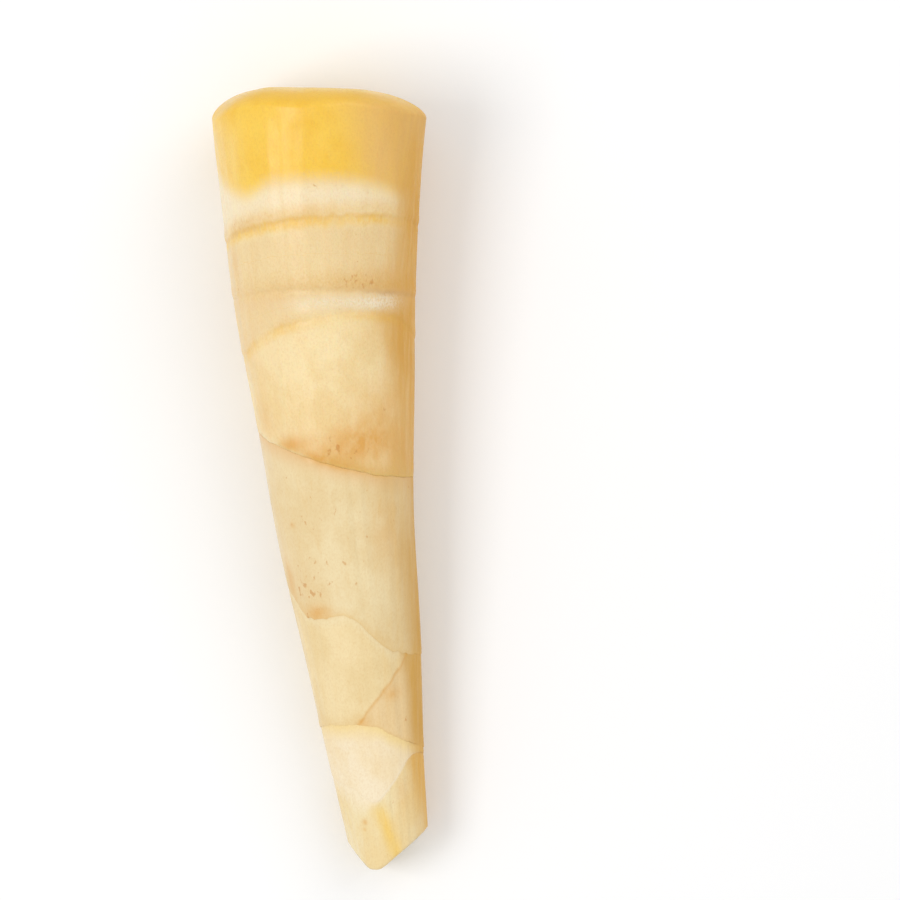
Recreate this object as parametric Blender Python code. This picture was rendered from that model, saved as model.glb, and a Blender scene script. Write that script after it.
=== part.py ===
"""A peeled, boiled bamboo shoot lying on its side: its stem, three leaf sheaths and the rolled tip.

Metres, +Z up. The shoot lies along Y on the floor at z = 0, with its cut base towards +Y and its tip towards
-Y. Every piece is drawn on one skin: a distance s along the shoot from the cut base, an angle theta round it
from +X over the top, and a depth under the skin. Each wrap of leaf stands a little proud of the next.
"""

from math import cos, pi, radians, tan

import bmesh
import bpy
import numpy as np

MM = 0.001

# The whole shoot
LENGTH = 195 * MM             # cut base to the end of the tip
BASE_RADIUS = 27.2 * MM       # half the width at the cut base
TIP_RADIUS = 9.5 * MM         # half the width at the end of the tip
HEIGHT_RATIO = 0.97           # a shoot that lies on its side is a little lower than it is wide
FLAT_ANGLE = radians(18)      # half the angle of the underside that lies flat on the floor
BEND = 3.9 * MM               # how far the shoot bows to -X
BEND_LENGTH = 182 * MM        # the length over which it bows
BEND_POWER = 0.75             # under 1, the bow is strongest on the base's side of the middle

# The cut base
RIM_LENGTH = 5 * MM           # how far the worn rim reaches along the shoot, above and below
RIM_SIDE_LENGTH = 7 * MM      # the same at the sides
RIM_DEPTH = 8 * MM            # how far it reaches in over the cut face, above and below
RIM_SIDE_DEPTH = 14 * MM      # the same at the sides
RIM_POWER = 1.6               # power of the rim's superellipse: 2 is an ellipse, 1 a flat chamfer
BASE_TURN = radians(6.5)      # the cut faces a little to -X
BASE_PITCH = radians(2)       # and a little up, square to the shoot's own axis
BASE_FADE = 40 * MM           # the length over which the sections turn upright

# The node rings and the free edges of the sheaths: (degrees, millimetres from the cut base)
RING_1 = [(0, 35.5), (45, 33.2), (90, 32.9), (135, 33.8), (180, 36.0), (270, 33.5)]
RING_2 = [(0, 53.2), (60, 51.2), (100, 49.5), (180, 50.2), (270, 51.5)]
RING_3 = [(0, 63.5), (35, 58.0), (75, 55.9), (115, 57.9), (142, 61.0), (180, 64.6), (270, 65.0)]
RING_4 = [(0, 97.5), (55, 96.6), (100, 92.3), (140, 86.8), (180, 82.8), (225, 84.5), (270, 90.0), (315, 95.5)]
RING_5 = [(0, 142.0), (55, 140.4), (75, 137.0), (95, 131.0), (140, 130.4), (163, 124.8), (190, 122.0),
          (230, 124.0), (280, 132.0), (325, 139.5)]
RING_6 = [(0, 165.5), (45, 163.4), (70, 161.0), (85, 158.8), (125, 157.7), (180, 158.2), (270, 161.0),
          (315, 164.0)]
SCALE_EDGE = [(0, 167.5), (45, 167.6), (74, 173.5), (97, 177.6), (112, 176.3), (128, 173.7), (180, 170.5),
              (270, 168.5)]

# The sheaths
WALL = 1.3 * MM               # thickness where a sheath is rooted
EDGE = 0.45 * MM              # thickness at its free edge
GAP = 0.3 * MM                # clearance between neighbouring pieces
HIDDEN = 5 * MM               # length of a sheath's root under the edge before it
RISE = 6 * MM                 # the shortest length in which a wrap comes up to the skin
GROOVE = 0.5 * MM             # depth of a node ring on the bare stem
GROOVE_HALF_WIDTH = 1.6 * MM
CORE_END = 150 * MM           # where the stem ends and the rolled tip starts, under the sheaths

# The tip: two knife cuts, one steep and one gentle, that meet in a blunt ridge
STEEP_CUT_X = -4.9 * MM
STEEP_CUT_SLOPE = 1.38
GENTLE_CUT_X = -2.2 * MM
GENTLE_CUT_SLOPE = 0.72
RIDGE_SOFTNESS = 0.8 * MM
TIP_EDGE = 0.6 * MM           # rounding of the cut's rim

# Mesh fineness
ARC_STEPS = 48                # round the skin, from one side of the flat underside to the other
FLAT_STEPS = 4                # across the flat underside

DEEPEST = 1.0                 # a depth past any section's middle: the row closes there in one point


def angles():
    """Angles of a section's points: even steps round the skin, then even steps across the flat underside."""
    start = -pi / 2 + FLAT_ANGLE
    round_skin = np.linspace(start, 3 * pi / 2 - FLAT_ANGLE, ARC_STEPS + 1)
    across = np.linspace(-1, 1, FLAT_STEPS + 1)[1:-1] * FLAT_ANGLE - pi / 2
    return np.concatenate([round_skin, across])


def closed_curve(stations):
    """A smooth closed curve through stations of (degrees, millimetres): a periodic cubic Hermite spline."""
    knots = np.radians([degrees for degrees, _ in stations])
    values = np.array([along for _, along in stations]) * MM
    spans = np.diff(np.append(knots, knots[0] + 2 * pi))
    slopes = (np.roll(values, -1) - np.roll(values, 1)) / (spans + np.roll(spans, 1))

    def curve(theta):
        turned = np.mod(theta - knots[0], 2 * pi) + knots[0]
        k = np.searchsorted(knots, turned, side="right") - 1
        after = (k + 1) % len(knots)
        h, t = spans[k], (turned - knots[k]) / spans[k]
        rise = values[k] + (values[after] - values[k]) * t * t * (3 - 2 * t)
        return rise + h * t * (1 - t) * (slopes[k] * (1 - t) - slopes[after] * t)

    return curve


ring_1, ring_2, ring_3 = closed_curve(RING_1), closed_curve(RING_2), closed_curve(RING_3)
ring_4, ring_5, ring_6 = closed_curve(RING_4), closed_curve(RING_5), closed_curve(RING_6)
scale_edge = closed_curve(SCALE_EDGE)


def half_width(s):
    """Half the skin's width: a straight taper from the base to the tip."""
    return BASE_RADIUS + (TIP_RADIUS - BASE_RADIUS) * s / LENGTH


def bow(s):
    """How far the section's middle lies from the straight line, towards -X: half a sine wave, skewed."""
    return -BEND * np.sin(pi * np.power(s / BEND_LENGTH, BEND_POWER))


def place(s, theta, depth):
    """Points at a distance along the shoot, an angle round it and a depth under its skin.

    The section is an ellipse cut off by the floor. Depth shrinks it towards its middle.
    """
    a = half_width(s)
    b = HEIGHT_RATIO * a
    keep = np.clip(1 - depth / b, 0, 1)
    side = keep * a * np.cos(theta)
    up = keep * b * np.maximum(np.sin(theta), -cos(FLAT_ANGLE))
    fade = np.clip(1 - s / BASE_FADE, 0, 1) ** 2
    lean = (tan(BASE_TURN) * side + tan(BASE_PITCH) * up) * fade
    return np.stack([bow(s) + side, -s - lean, b * cos(FLAT_ANGLE) + up], axis=-1)


class Wrap:
    """One wrap of leaf: the lines where it comes into sight and where it ends, and the wrap over it."""

    def __init__(self, start, end, cover=None):
        self.start, self.end, self.cover = start, end, cover

    def outer(self, s, theta):
        """Depth of the outer face: one gap under its cover, and in sight rising to the skin."""
        start = self.start(theta)
        under = self.cover.outer(start, theta) if self.cover else 0
        rising = np.clip((s - start) / np.maximum(self.end(theta) - start, RISE), 0, 1)
        showing = (under + EDGE + GAP) * (1 - rising)
        if self.cover is None:
            return showing
        return np.where(s < start, self.cover.inner(s, theta) + GAP, showing)

    def inner(self, s, theta):
        """Depth of the inner face: in sight, the wall thins towards the free edge."""
        start = self.start(theta)
        thinned = np.clip((s - start) / (self.end(theta) - start), 0, 1)
        return self.outer(s, theta) + WALL + (EDGE - WALL) * thinned

    def root(self, theta):
        """Line where the wrap is rooted on the stem, hidden under its cover."""
        return self.start(theta) - HIDDEN if self.cover else self.start(theta) + GAP


def tip_cut(x):
    """Distance of the tip's cuts at x: the length less two slopes that start softly."""
    def past(distance):
        return (distance + np.hypot(distance, RIDGE_SOFTNESS)) / 2
    return LENGTH - STEEP_CUT_SLOPE * past(STEEP_CUT_X - x) - GENTLE_CUT_SLOPE * past(x - GENTLE_CUT_X)


def tip_end(theta, depth):
    """Distance where a line at this angle and depth meets the tip's cuts, found by repeated trial."""
    s = np.full_like(theta, LENGTH)
    for _ in range(8):
        s = tip_cut(place(s, theta, depth)[..., 0])
    return s


sheath_1 = Wrap(ring_4, ring_5)
sheath_2 = Wrap(ring_5, ring_6, cover=sheath_1)
sheath_3 = Wrap(ring_6, scale_edge, cover=sheath_2)
tip_roll = Wrap(scale_edge, lambda theta: tip_end(theta, 0.0), cover=sheath_3)


def ring_groove(s, theta):
    """Depth of the three node rings on the bare stem: V grooves that fade out where the stem lies flat."""
    off_floor = np.clip((np.sin(theta) + cos(FLAT_ANGLE)) / 0.4, 0, 1)
    depth = 0
    for ring in (ring_1, ring_2, ring_3):
        depth = depth + np.clip(1 - np.abs(s - ring(theta)) / GROOVE_HALF_WIDTH, 0, 1)
    return GROOVE * depth * off_floor


def rim_rows(theta):
    """Rows of the worn rim, from the cut face to the skin: a superellipse, broader at the sides."""
    sides = np.cos(theta) ** 2
    length = RIM_LENGTH + (RIM_SIDE_LENGTH - RIM_LENGTH) * sides
    depth = RIM_DEPTH + (RIM_SIDE_DEPTH - RIM_DEPTH) * sides
    turns = np.radians([0, 22, 40, 56, 73, 90])
    return [(length * (1 - np.cos(turn) ** (2 / RIM_POWER)), depth * (1 - np.sin(turn) ** (2 / RIM_POWER)))
            for turn in turns]


def stem_rows(theta):
    """Rows of the stem: its cut face, the rounded rim, the bare rings, then the core under the sheaths."""
    def skin(s):
        return s, ring_groove(s, theta)

    rows = [(0.0, DEEPEST)]
    rows += [(0.0, 0.75 * BASE_RADIUS)]
    rows += rim_rows(theta)
    rows += [skin(14 * MM), skin(22 * MM)]
    for ring in (ring_1, ring_2, ring_3):
        rows += [skin(ring(theta) + offset) for offset in (-GROOVE_HALF_WIDTH, 0.0, GROOVE_HALF_WIDTH)]
    last, shoulder = ring_3(theta) + GROOVE_HALF_WIDTH, ring_4(theta)
    rows += [skin(last + share * (shoulder - last)) for share in (0.35, 0.7, 1.0)]

    hidden_root = sheath_2.root(theta) - GAP
    rows += [core_row(sheath_1, shoulder + share * (hidden_root - shoulder), theta) for share in (0, 0.5, 1)]
    rows += [core_row(sheath_2, s, theta) for s in (hidden_root, ring_5(theta), CORE_END)]
    rows += [(CORE_END, 0.55 * half_width(CORE_END)), (CORE_END, DEEPEST)]
    return rows


def core_row(wrap, s, theta):
    """A row of the solid that a wrap is rooted on: one gap below the wrap's inner face."""
    return s, wrap.inner(s, theta) + GAP


def sheath_rows(wrap, theta):
    """Rows of a sheath: along its outer face to the free edge, and back along its inner face to the root."""
    root, start, end = wrap.root(theta), wrap.start(theta), wrap.end(theta)
    lines = [start + share * (end - start) for share in (0.33, 0.66, 1.0)]
    lines = [root, start] + lines if wrap.cover else [root] + lines
    out = [(s, wrap.outer(s, theta)) for s in lines]
    back = [(s, wrap.inner(s, theta)) for s in reversed(lines)]
    return out + back


def tip_rows(theta):
    """Rows of the rolled tip: its root face, the part under the sheaths, the part in sight, the cut end."""
    first = CORE_END + GAP
    root, start = sheath_3.root(theta) - GAP, scale_edge(theta)
    rows = [(first, DEEPEST), (first, 0.55 * half_width(first))]
    rows += [core_row(sheath_2, s, theta) for s in (first, root)]
    rows += [core_row(sheath_3, s, theta) for s in (root, ring_6(theta), start)]
    brim = tip_end(theta, 0.0) - TIP_EDGE
    lines = [start + share * (brim - start) for share in (0.35, 0.7, 1)]
    rows += [(s, tip_roll.outer(s, theta)) for s in lines]
    for depth in (0.3 * TIP_EDGE, TIP_EDGE, 0.4 * TIP_RADIUS, 0.7 * TIP_RADIUS):
        rows.append((tip_end(theta, depth), depth))
    rows.append((tip_end(theta, DEEPEST), DEEPEST))
    return rows


def points(rows, theta):
    """Grid of points, one closed ring of them for each row."""
    return np.stack([place(s + 0 * theta, theta, depth + 0 * theta) for s, depth in rows])


def material(name, colour, roughness):
    """Plain boiled-shoot material."""
    made = bpy.data.materials.new(name)
    made.use_nodes = True
    shader = made.node_tree.nodes["Principled BSDF"]
    shader.inputs["Base Color"].default_value = (*colour, 1.0)
    shader.inputs["Roughness"].default_value = roughness
    shader.inputs["Metallic"].default_value = 0.0
    return made


def build(name, grid, tube, colour, roughness):
    """One closed object from a grid of points: a tube also joins its last row to its first."""
    rows, columns = grid.shape[:2]
    row, column = np.meshgrid(np.arange(rows if tube else rows - 1), np.arange(columns), indexing="ij")
    next_row, next_column = (row + 1) % rows, (column + 1) % columns
    corners = [row * columns + column, row * columns + next_column,
               next_row * columns + next_column, next_row * columns + column]
    faces = np.stack(corners, axis=-1).reshape(-1, 4)

    mesh = bpy.data.meshes.new(name)
    mesh.from_pydata(grid.reshape(-1, 3).tolist(), [], faces.tolist())
    work = bmesh.new()
    work.from_mesh(mesh)
    bmesh.ops.remove_doubles(work, verts=work.verts, dist=0.001 * MM)
    bmesh.ops.recalc_face_normals(work, faces=work.faces)
    work.to_mesh(mesh)
    work.free()
    mesh.shade_smooth()
    mesh.set_sharp_from_angle(angle=radians(40))
    mesh.materials.append(material(name, colour, roughness))
    made = bpy.data.objects.new(name, mesh)
    bpy.context.scene.collection.objects.link(made)
    return made


def main():
    """Clear the scene and build the shoot's five pieces, standing over the middle of their own box."""
    for old in list(bpy.data.objects):
        bpy.data.objects.remove(old, do_unlink=True)

    theta = angles()
    pieces = [
        ("culm", stem_rows(theta), False, (0.86, 0.62, 0.26), 0.45),
        ("sheath_1", sheath_rows(sheath_1, theta), True, (0.80, 0.64, 0.36), 0.45),
        ("sheath_2", sheath_rows(sheath_2, theta), True, (0.84, 0.67, 0.38), 0.42),
        ("sheath_3", sheath_rows(sheath_3, theta), True, (0.88, 0.78, 0.55), 0.40),
        ("tip_roll", tip_rows(theta), False, (0.87, 0.68, 0.33), 0.42),
    ]
    grids = [points(rows, theta) for _, rows, *_ in pieces]
    everything = np.concatenate([grid.reshape(-1, 3) for grid in grids])
    middle = (everything.min(axis=0) + everything.max(axis=0)) / 2
    middle[2] = 0.0
    for grid, (name, _, tube, colour, roughness) in zip(grids, pieces):
        build(name, grid - middle, tube, colour, roughness)


main()
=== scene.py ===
"""A peeled, boiled bamboo shoot lying on its side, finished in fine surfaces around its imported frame.

Every piece is drawn on one skin, with a distance s along the shoot from the cut base, an angle theta round
it from +X over the top, and a depth under the skin. Each wrap of leaf stands a little proud of the next one.
Patterns that follow the shoot's growth are worked out with its shape and kept on the mesh as named fields.
The materials read them together with noise in the object's own coordinates.
"""

from math import cos, pi, radians, tan

import bpy
import numpy as np
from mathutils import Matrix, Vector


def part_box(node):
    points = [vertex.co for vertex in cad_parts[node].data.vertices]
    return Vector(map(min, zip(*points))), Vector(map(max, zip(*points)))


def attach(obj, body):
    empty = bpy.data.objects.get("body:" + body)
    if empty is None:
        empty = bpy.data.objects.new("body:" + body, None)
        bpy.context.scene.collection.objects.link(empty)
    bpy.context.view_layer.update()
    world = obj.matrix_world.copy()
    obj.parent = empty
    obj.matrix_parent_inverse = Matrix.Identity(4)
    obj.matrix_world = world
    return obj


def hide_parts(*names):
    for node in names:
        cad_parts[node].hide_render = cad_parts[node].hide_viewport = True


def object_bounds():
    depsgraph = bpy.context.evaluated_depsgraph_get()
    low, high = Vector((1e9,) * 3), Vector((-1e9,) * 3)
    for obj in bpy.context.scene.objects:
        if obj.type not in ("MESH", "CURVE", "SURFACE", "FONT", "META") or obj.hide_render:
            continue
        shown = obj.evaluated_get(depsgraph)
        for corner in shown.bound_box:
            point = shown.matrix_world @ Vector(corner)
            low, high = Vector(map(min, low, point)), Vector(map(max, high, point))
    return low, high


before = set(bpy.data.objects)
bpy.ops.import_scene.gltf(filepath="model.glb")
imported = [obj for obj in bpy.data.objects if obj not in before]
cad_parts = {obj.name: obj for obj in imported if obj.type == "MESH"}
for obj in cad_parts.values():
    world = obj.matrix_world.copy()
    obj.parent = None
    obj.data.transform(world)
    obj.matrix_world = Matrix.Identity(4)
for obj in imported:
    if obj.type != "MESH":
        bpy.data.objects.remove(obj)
CAD_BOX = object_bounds()

bl_info = {
    "name": "Boiled Bamboo Shoot",
    "version": (1, 0, 0),
    "blender": (4, 5, 0),
    "location": "3D View > Sidebar > Shoot",
    "description": "Makes a peeled, boiled bamboo shoot with its stem, leaf sheaths and rolled tip",
    "category": "Add Mesh",
}

MM = 0.001


def screen(red, green, blue):
    """Linear colour of an sRGB colour given in 0 to 255."""
    c = np.array([red, green, blue]) / 255
    return tuple(np.where(c <= 0.04045, c / 12.92, ((c + 0.055) / 1.055) ** 2.4))


# The collar's border, the node rings and the sheaths' free edges: (degrees, millimetres from the cut base)
COLLAR_LINE = [(0, 30.0), (30, 28.0), (52, 25.2), (71, 23.3), (98, 22.4), (118, 22.6), (133, 24.6),
               (142, 24.4), (154, 22.4), (180, 19.0), (225, 21.0), (270, 26.0), (315, 29.0)]
RING_1 = [(0, 35.5), (32, 34.0), (54, 32.9), (80, 32.6), (99, 32.5), (119, 32.8), (139, 33.5), (157, 34.7),
          (180, 36.0), (270, 33.5)]
RING_2 = [(0, 53.2), (38, 52.2), (73, 50.7), (111, 49.3), (150, 49.4), (180, 50.2), (270, 51.5)]
RING_3 = [(0, 63.5), (25, 59.8), (37, 57.8), (54, 56.6), (73, 55.9), (93, 56.8), (105, 57.2), (116, 57.9),
          (128, 59.0), (142, 61.0), (160, 63.4), (180, 64.6), (270, 65.0)]
RING_4 = [(0, 97.5), (55, 96.6), (100, 92.3), (140, 86.8), (180, 82.8), (225, 84.5), (270, 90.0), (315, 95.5)]
RING_5 = [(0, 142.0), (55, 140.4), (75, 137.0), (95, 131.0), (140, 130.4), (163, 124.8), (190, 122.0),
          (230, 124.0), (280, 132.0), (325, 139.5)]
RING_6 = [(0, 165.5), (45, 163.4), (70, 161.0), (85, 158.8), (125, 157.7), (180, 158.2), (270, 161.0),
          (315, 164.0)]
SCALE_EDGE = [(0, 167.0), (45, 167.0), (74, 173.5), (97, 177.6), (112, 176.3), (128, 173.7), (180, 170.5),
              (270, 168.5)]

# The second sheath's slanting margin
MARGIN_ANGLE = radians(42)    # an angle that it passes
MARGIN_PLACE = 142.4          # millimetres along there
MARGIN_SLOPE = 14.3           # millimetres along for each radian round
MARGIN_BREAK = 1.2            # radians before +X where it breaks off, under the shoot

# The cuts across the shoot
LEAN_SIDE = tan(radians(6.5))  # slope of the cut base sideways
LEAN_UP = tan(radians(2))     # and upwards
LEAN_LENGTH = 40 * MM         # length over which these slopes die out
LEFT_CUT = (1.38, -4.9 * MM)  # the tip's cut towards -X: its slope, and the place across where it starts
RIGHT_CUT = (0.72, -2.2 * MM)  # and the one towards +X
TIP_MIDDLE = 194 * MM         # where the middle of the tip's cut lies
TIP_RIM = 0.7 * MM            # rounding of the tip's rim

# The leaves
CORE_END = 150 * MM           # where the stem ends under the sheaths, as its CAD node does
HIDDEN = 5 * MM               # length of a sheath's root under the edge before it
TAPER = 9 * MM                # length over which a sheath thins to its free edge
TUCK = 0.03 * MM              # how far a free edge's outer corner is worn down
RISE = 6 * MM                 # the shortest length in which a wrap comes up to the skin
ONSET = 1.5 * MM              # length in which relief comes in after a line and dies out before the next

DEEPEST = 1.0                 # a depth past any section's middle: the row closes there in one point
FLOOR_HALF = 2.0              # half the floor's side

# Columns and rows of the grids
STEM_COLUMNS, LEAF_COLUMNS = 340, 400
FACE_ROWS, RIM_ROWS, SKIN_ROWS = 27, 24, 214
CORE_ROWS = (7, 6)
ROOT_ROWS, ROUND_ROWS, INSIDE_ROWS = 14, 5, 34
TIP_ROOT_ROWS = (6, 12)
TIP_ROWS, TIP_RIM_ROWS, CAP_ROWS = 112, 6, 64

# Starts of the random draws that a single pattern has to itself
RIM_SEED, KNIFE_SEED, PATCH_SEED, MARGIN_SEED = 3, 9, 21, 61

# The tints named side are partly the flesh's own tan and partly painted shade on the side towards +X.
TINT = {name: screen(*levels) for name, levels in {
    "deep cream": (236, 209, 153),
    "pale": (240, 224, 190),
    "wash": (233, 207, 156),
    "flush": (228, 191, 138),
    "deep golden": (238, 190, 62),
    "rim": (233, 184, 60),
    "collar tan": (231, 186, 106),
    "orange": (220, 162, 76),
    "fuzz": (214, 166, 96),
    "bloom": (248, 238, 212),
    "speck": (196, 130, 56),
    "fibre": (222, 178, 104),
    "grain": (200, 146, 76),
    "smear": (220, 178, 104),
    "crease": (242, 200, 88),
    "seam": (224, 178, 92),
    "cut": (243, 212, 126),
    "cut dot": (216, 164, 84),
    "sheath side": (205, 156, 70),
    "deep sheath": (228, 204, 154),
    "second sheath": (238, 216, 167),
    "deep second sheath": (231, 206, 153),
    "second sheath side": (208, 158, 68),
    "deep scale": (240, 219, 178),
    "scale side": (216, 166, 76),
    "scale root": (240, 212, 146),
    "deep tip": (236, 211, 156),
    "tip side": (220, 166, 68),
}.items()}


# --- Settings ---

class ShootShape(bpy.types.PropertyGroup):
    """Sizes of the shoot."""

    length: bpy.props.FloatProperty(
        name="Length", description="Cut base to the end of the tip", default=0.195, unit="LENGTH")
    base_radius: bpy.props.FloatProperty(
        name="Base Radius", description="Half the width at the cut base", default=0.0272, unit="LENGTH")
    tip_radius: bpy.props.FloatProperty(
        name="Tip Radius", description="Half the width at the end of the tip", default=0.0095, unit="LENGTH")
    height_ratio: bpy.props.FloatProperty(
        name="Height Ratio", description="Height of a section over its width", default=0.97)
    flat_angle: bpy.props.FloatProperty(
        name="Flat Angle", description="Half the angle of the underside that lies on the floor",
        default=radians(18), subtype="ANGLE")
    bow: bpy.props.FloatProperty(
        name="Bow", description="How far the shoot bows sideways", default=0.0039, unit="LENGTH")
    bow_length: bpy.props.FloatProperty(
        name="Bow Length", description="Length over which it bows", default=0.182, unit="LENGTH")
    rim_length: bpy.props.FloatVectorProperty(
        name="Rim Length", description="Reach of the worn rim along the shoot: above and below, at the sides",
        size=2, default=(0.005, 0.007), subtype="XYZ", unit="LENGTH")
    rim_depth: bpy.props.FloatVectorProperty(
        name="Rim Depth", description="Reach of the worn rim over the cut: above and below, at the sides",
        size=2, default=(0.008, 0.014), subtype="XYZ", unit="LENGTH")
    wall: bpy.props.FloatProperty(
        name="Wall", description="Thickness of a sheath where it is rooted", default=0.0013, unit="LENGTH")
    edge: bpy.props.FloatProperty(
        name="Edge", description="Thickness of a sheath at its free edge", default=0.00006, unit="LENGTH")
    gap: bpy.props.FloatProperty(
        name="Gap", description="Clearance between the wraps", default=0.00002, unit="LENGTH")
    seed: bpy.props.IntProperty(
        name="Seed", description="Start of the uneven growth's random draws", default=11)


class ShootFinish(bpy.types.PropertyGroup):
    """Main colours and wetness of the shoot."""

    cream: bpy.props.FloatVectorProperty(
        name="Cream", description="Flesh of the stem", default=screen(242, 221, 171), subtype="COLOR")
    golden: bpy.props.FloatVectorProperty(
        name="Golden", description="Collar at the cut base", default=screen(243, 201, 80), subtype="COLOR")
    # Partly the flesh's own tan and partly painted shade on the side towards +X.
    tan: bpy.props.FloatVectorProperty(
        name="Tan", description="Darker flesh of the side", default=screen(212, 156, 62), subtype="COLOR")
    ring_brown: bpy.props.FloatVectorProperty(
        name="Ring Brown", description="Brown ring lines", default=screen(176, 122, 60), subtype="COLOR")
    ring_yellow: bpy.props.FloatVectorProperty(
        name="Ring Yellow", description="Yellow ring lines", default=screen(236, 190, 84), subtype="COLOR")
    sheath: bpy.props.FloatVectorProperty(
        name="Sheath", description="Leaf sheaths", default=screen(234, 215, 170), subtype="COLOR")
    scale: bpy.props.FloatVectorProperty(
        name="Scale", description="Pale leaf near the tip", default=screen(243, 227, 195), subtype="COLOR")
    tip: bpy.props.FloatVectorProperty(
        name="Tip", description="Rolled leaves of the tip", default=screen(238, 220, 174), subtype="COLOR")
    wetness: bpy.props.FloatProperty(
        name="Wetness", description="Strength of the wet film", default=0.6, subtype="FACTOR")


class ShootStage(bpy.types.PropertyGroup):
    """Floor, light and camera."""

    floor: bpy.props.FloatVectorProperty(
        name="Floor", description="Floor colour", default=(0.95, 0.95, 0.95), subtype="COLOR")
    lens: bpy.props.FloatProperty(
        name="Lens", description="Camera focal length in millimetres", default=200.0)
    view_width: bpy.props.FloatProperty(
        name="View Width", description="Width that the camera takes in at the shoot's height", default=0.225,
        unit="LENGTH")
    aim: bpy.props.FloatVectorProperty(
        name="Aim", description="Point of the floor under the camera", size=2, default=(0.0252, 0.0048),
        subtype="XYZ", unit="LENGTH")
    roll: bpy.props.FloatProperty(
        name="Roll", description="Turn of the camera about its own axis", default=radians(-4.9),
        subtype="ANGLE")
    daylight: bpy.props.FloatProperty(
        name="Daylight", description="Strength of the light from all round", default=0.74)
    key: bpy.props.FloatProperty(
        name="Key", description="Power of the soft key light, in watts", default=3.7)


# --- The skin and its noise ---

def closed_curve(stations):
    """A smooth closed curve through stations of (degrees, millimetres): a periodic cubic Hermite spline."""
    knots = np.radians([degrees for degrees, _ in stations])
    values = np.array([along for _, along in stations]) * MM
    spans = np.diff(np.append(knots, knots[0] + 2 * pi))
    slopes = (np.roll(values, -1) - np.roll(values, 1)) / (spans + np.roll(spans, 1))

    def curve(theta):
        """The line at an angle."""
        turned = np.mod(theta - knots[0], 2 * pi) + knots[0]
        k = np.clip(np.searchsorted(knots, turned, side="right") - 1, 0, len(knots) - 1)
        after = (k + 1) % len(knots)
        h, t = spans[k], (turned - knots[k]) / spans[k]
        rise = values[k] + (values[after] - values[k]) * t * t * (3 - 2 * t)
        return rise + h * t * (1 - t) * (slopes[k] * (1 - t) - slopes[after] * t)

    return curve


def waves(rng, s, theta, count, around, along=0.0):
    """Smooth noise about 1 high: a sum of cosines, each with a whole number of turns round and some along."""
    total = 0.0
    for _ in range(count):
        turns = int(rng.integers(around[0], around[1] + 1))
        pitch = 2 * pi * rng.uniform(-along, along)
        total = total + np.cos(turns * theta + pitch * s + rng.uniform(0, 2 * pi))
    return total * np.sqrt(2 / count)


def ragged(stations, seed, size, around=(5, 48)):
    """A closed curve with an uneven edge: the smooth curve plus waves of many turns, `size` high."""
    smooth = closed_curve(stations)

    def curve(theta):
        """The uneven line at an angle."""
        return smooth(theta) + size * waves(np.random.default_rng(seed), 0.0, theta, 30, around)

    return curve


def step(value, low, high):
    """Smooth step from 0 at low to 1 at high: 3t^2 - 2t^3."""
    t = np.clip((value - low) / (high - low), 0, 1)
    return t * t * (3 - 2 * t)


def bell(value, width):
    """Bell curve: exp(-(value / width)^2)."""
    return np.exp(-(value / width) ** 2)


def facing(theta, degrees, spread):
    """Soft mask of one side of the shoot: a bell curve of the angle from it, wrapped at the full turn."""
    return bell(np.mod(theta - radians(degrees) + pi, 2 * pi) - pi, radians(spread))


def spots(s, theta, places, onto=0.0):
    """Soft spots on the skin, added to a field: each is a bell curve along the shoot times one round it.

    A place gives a spot's strength, its millimetres along, its degrees round, and its size both ways.
    """
    for strength, along, degrees, length, spread in places:
        onto = onto + strength * (bell(s - along * MM, length * MM) * facing(theta, degrees, spread))
    return onto


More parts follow.
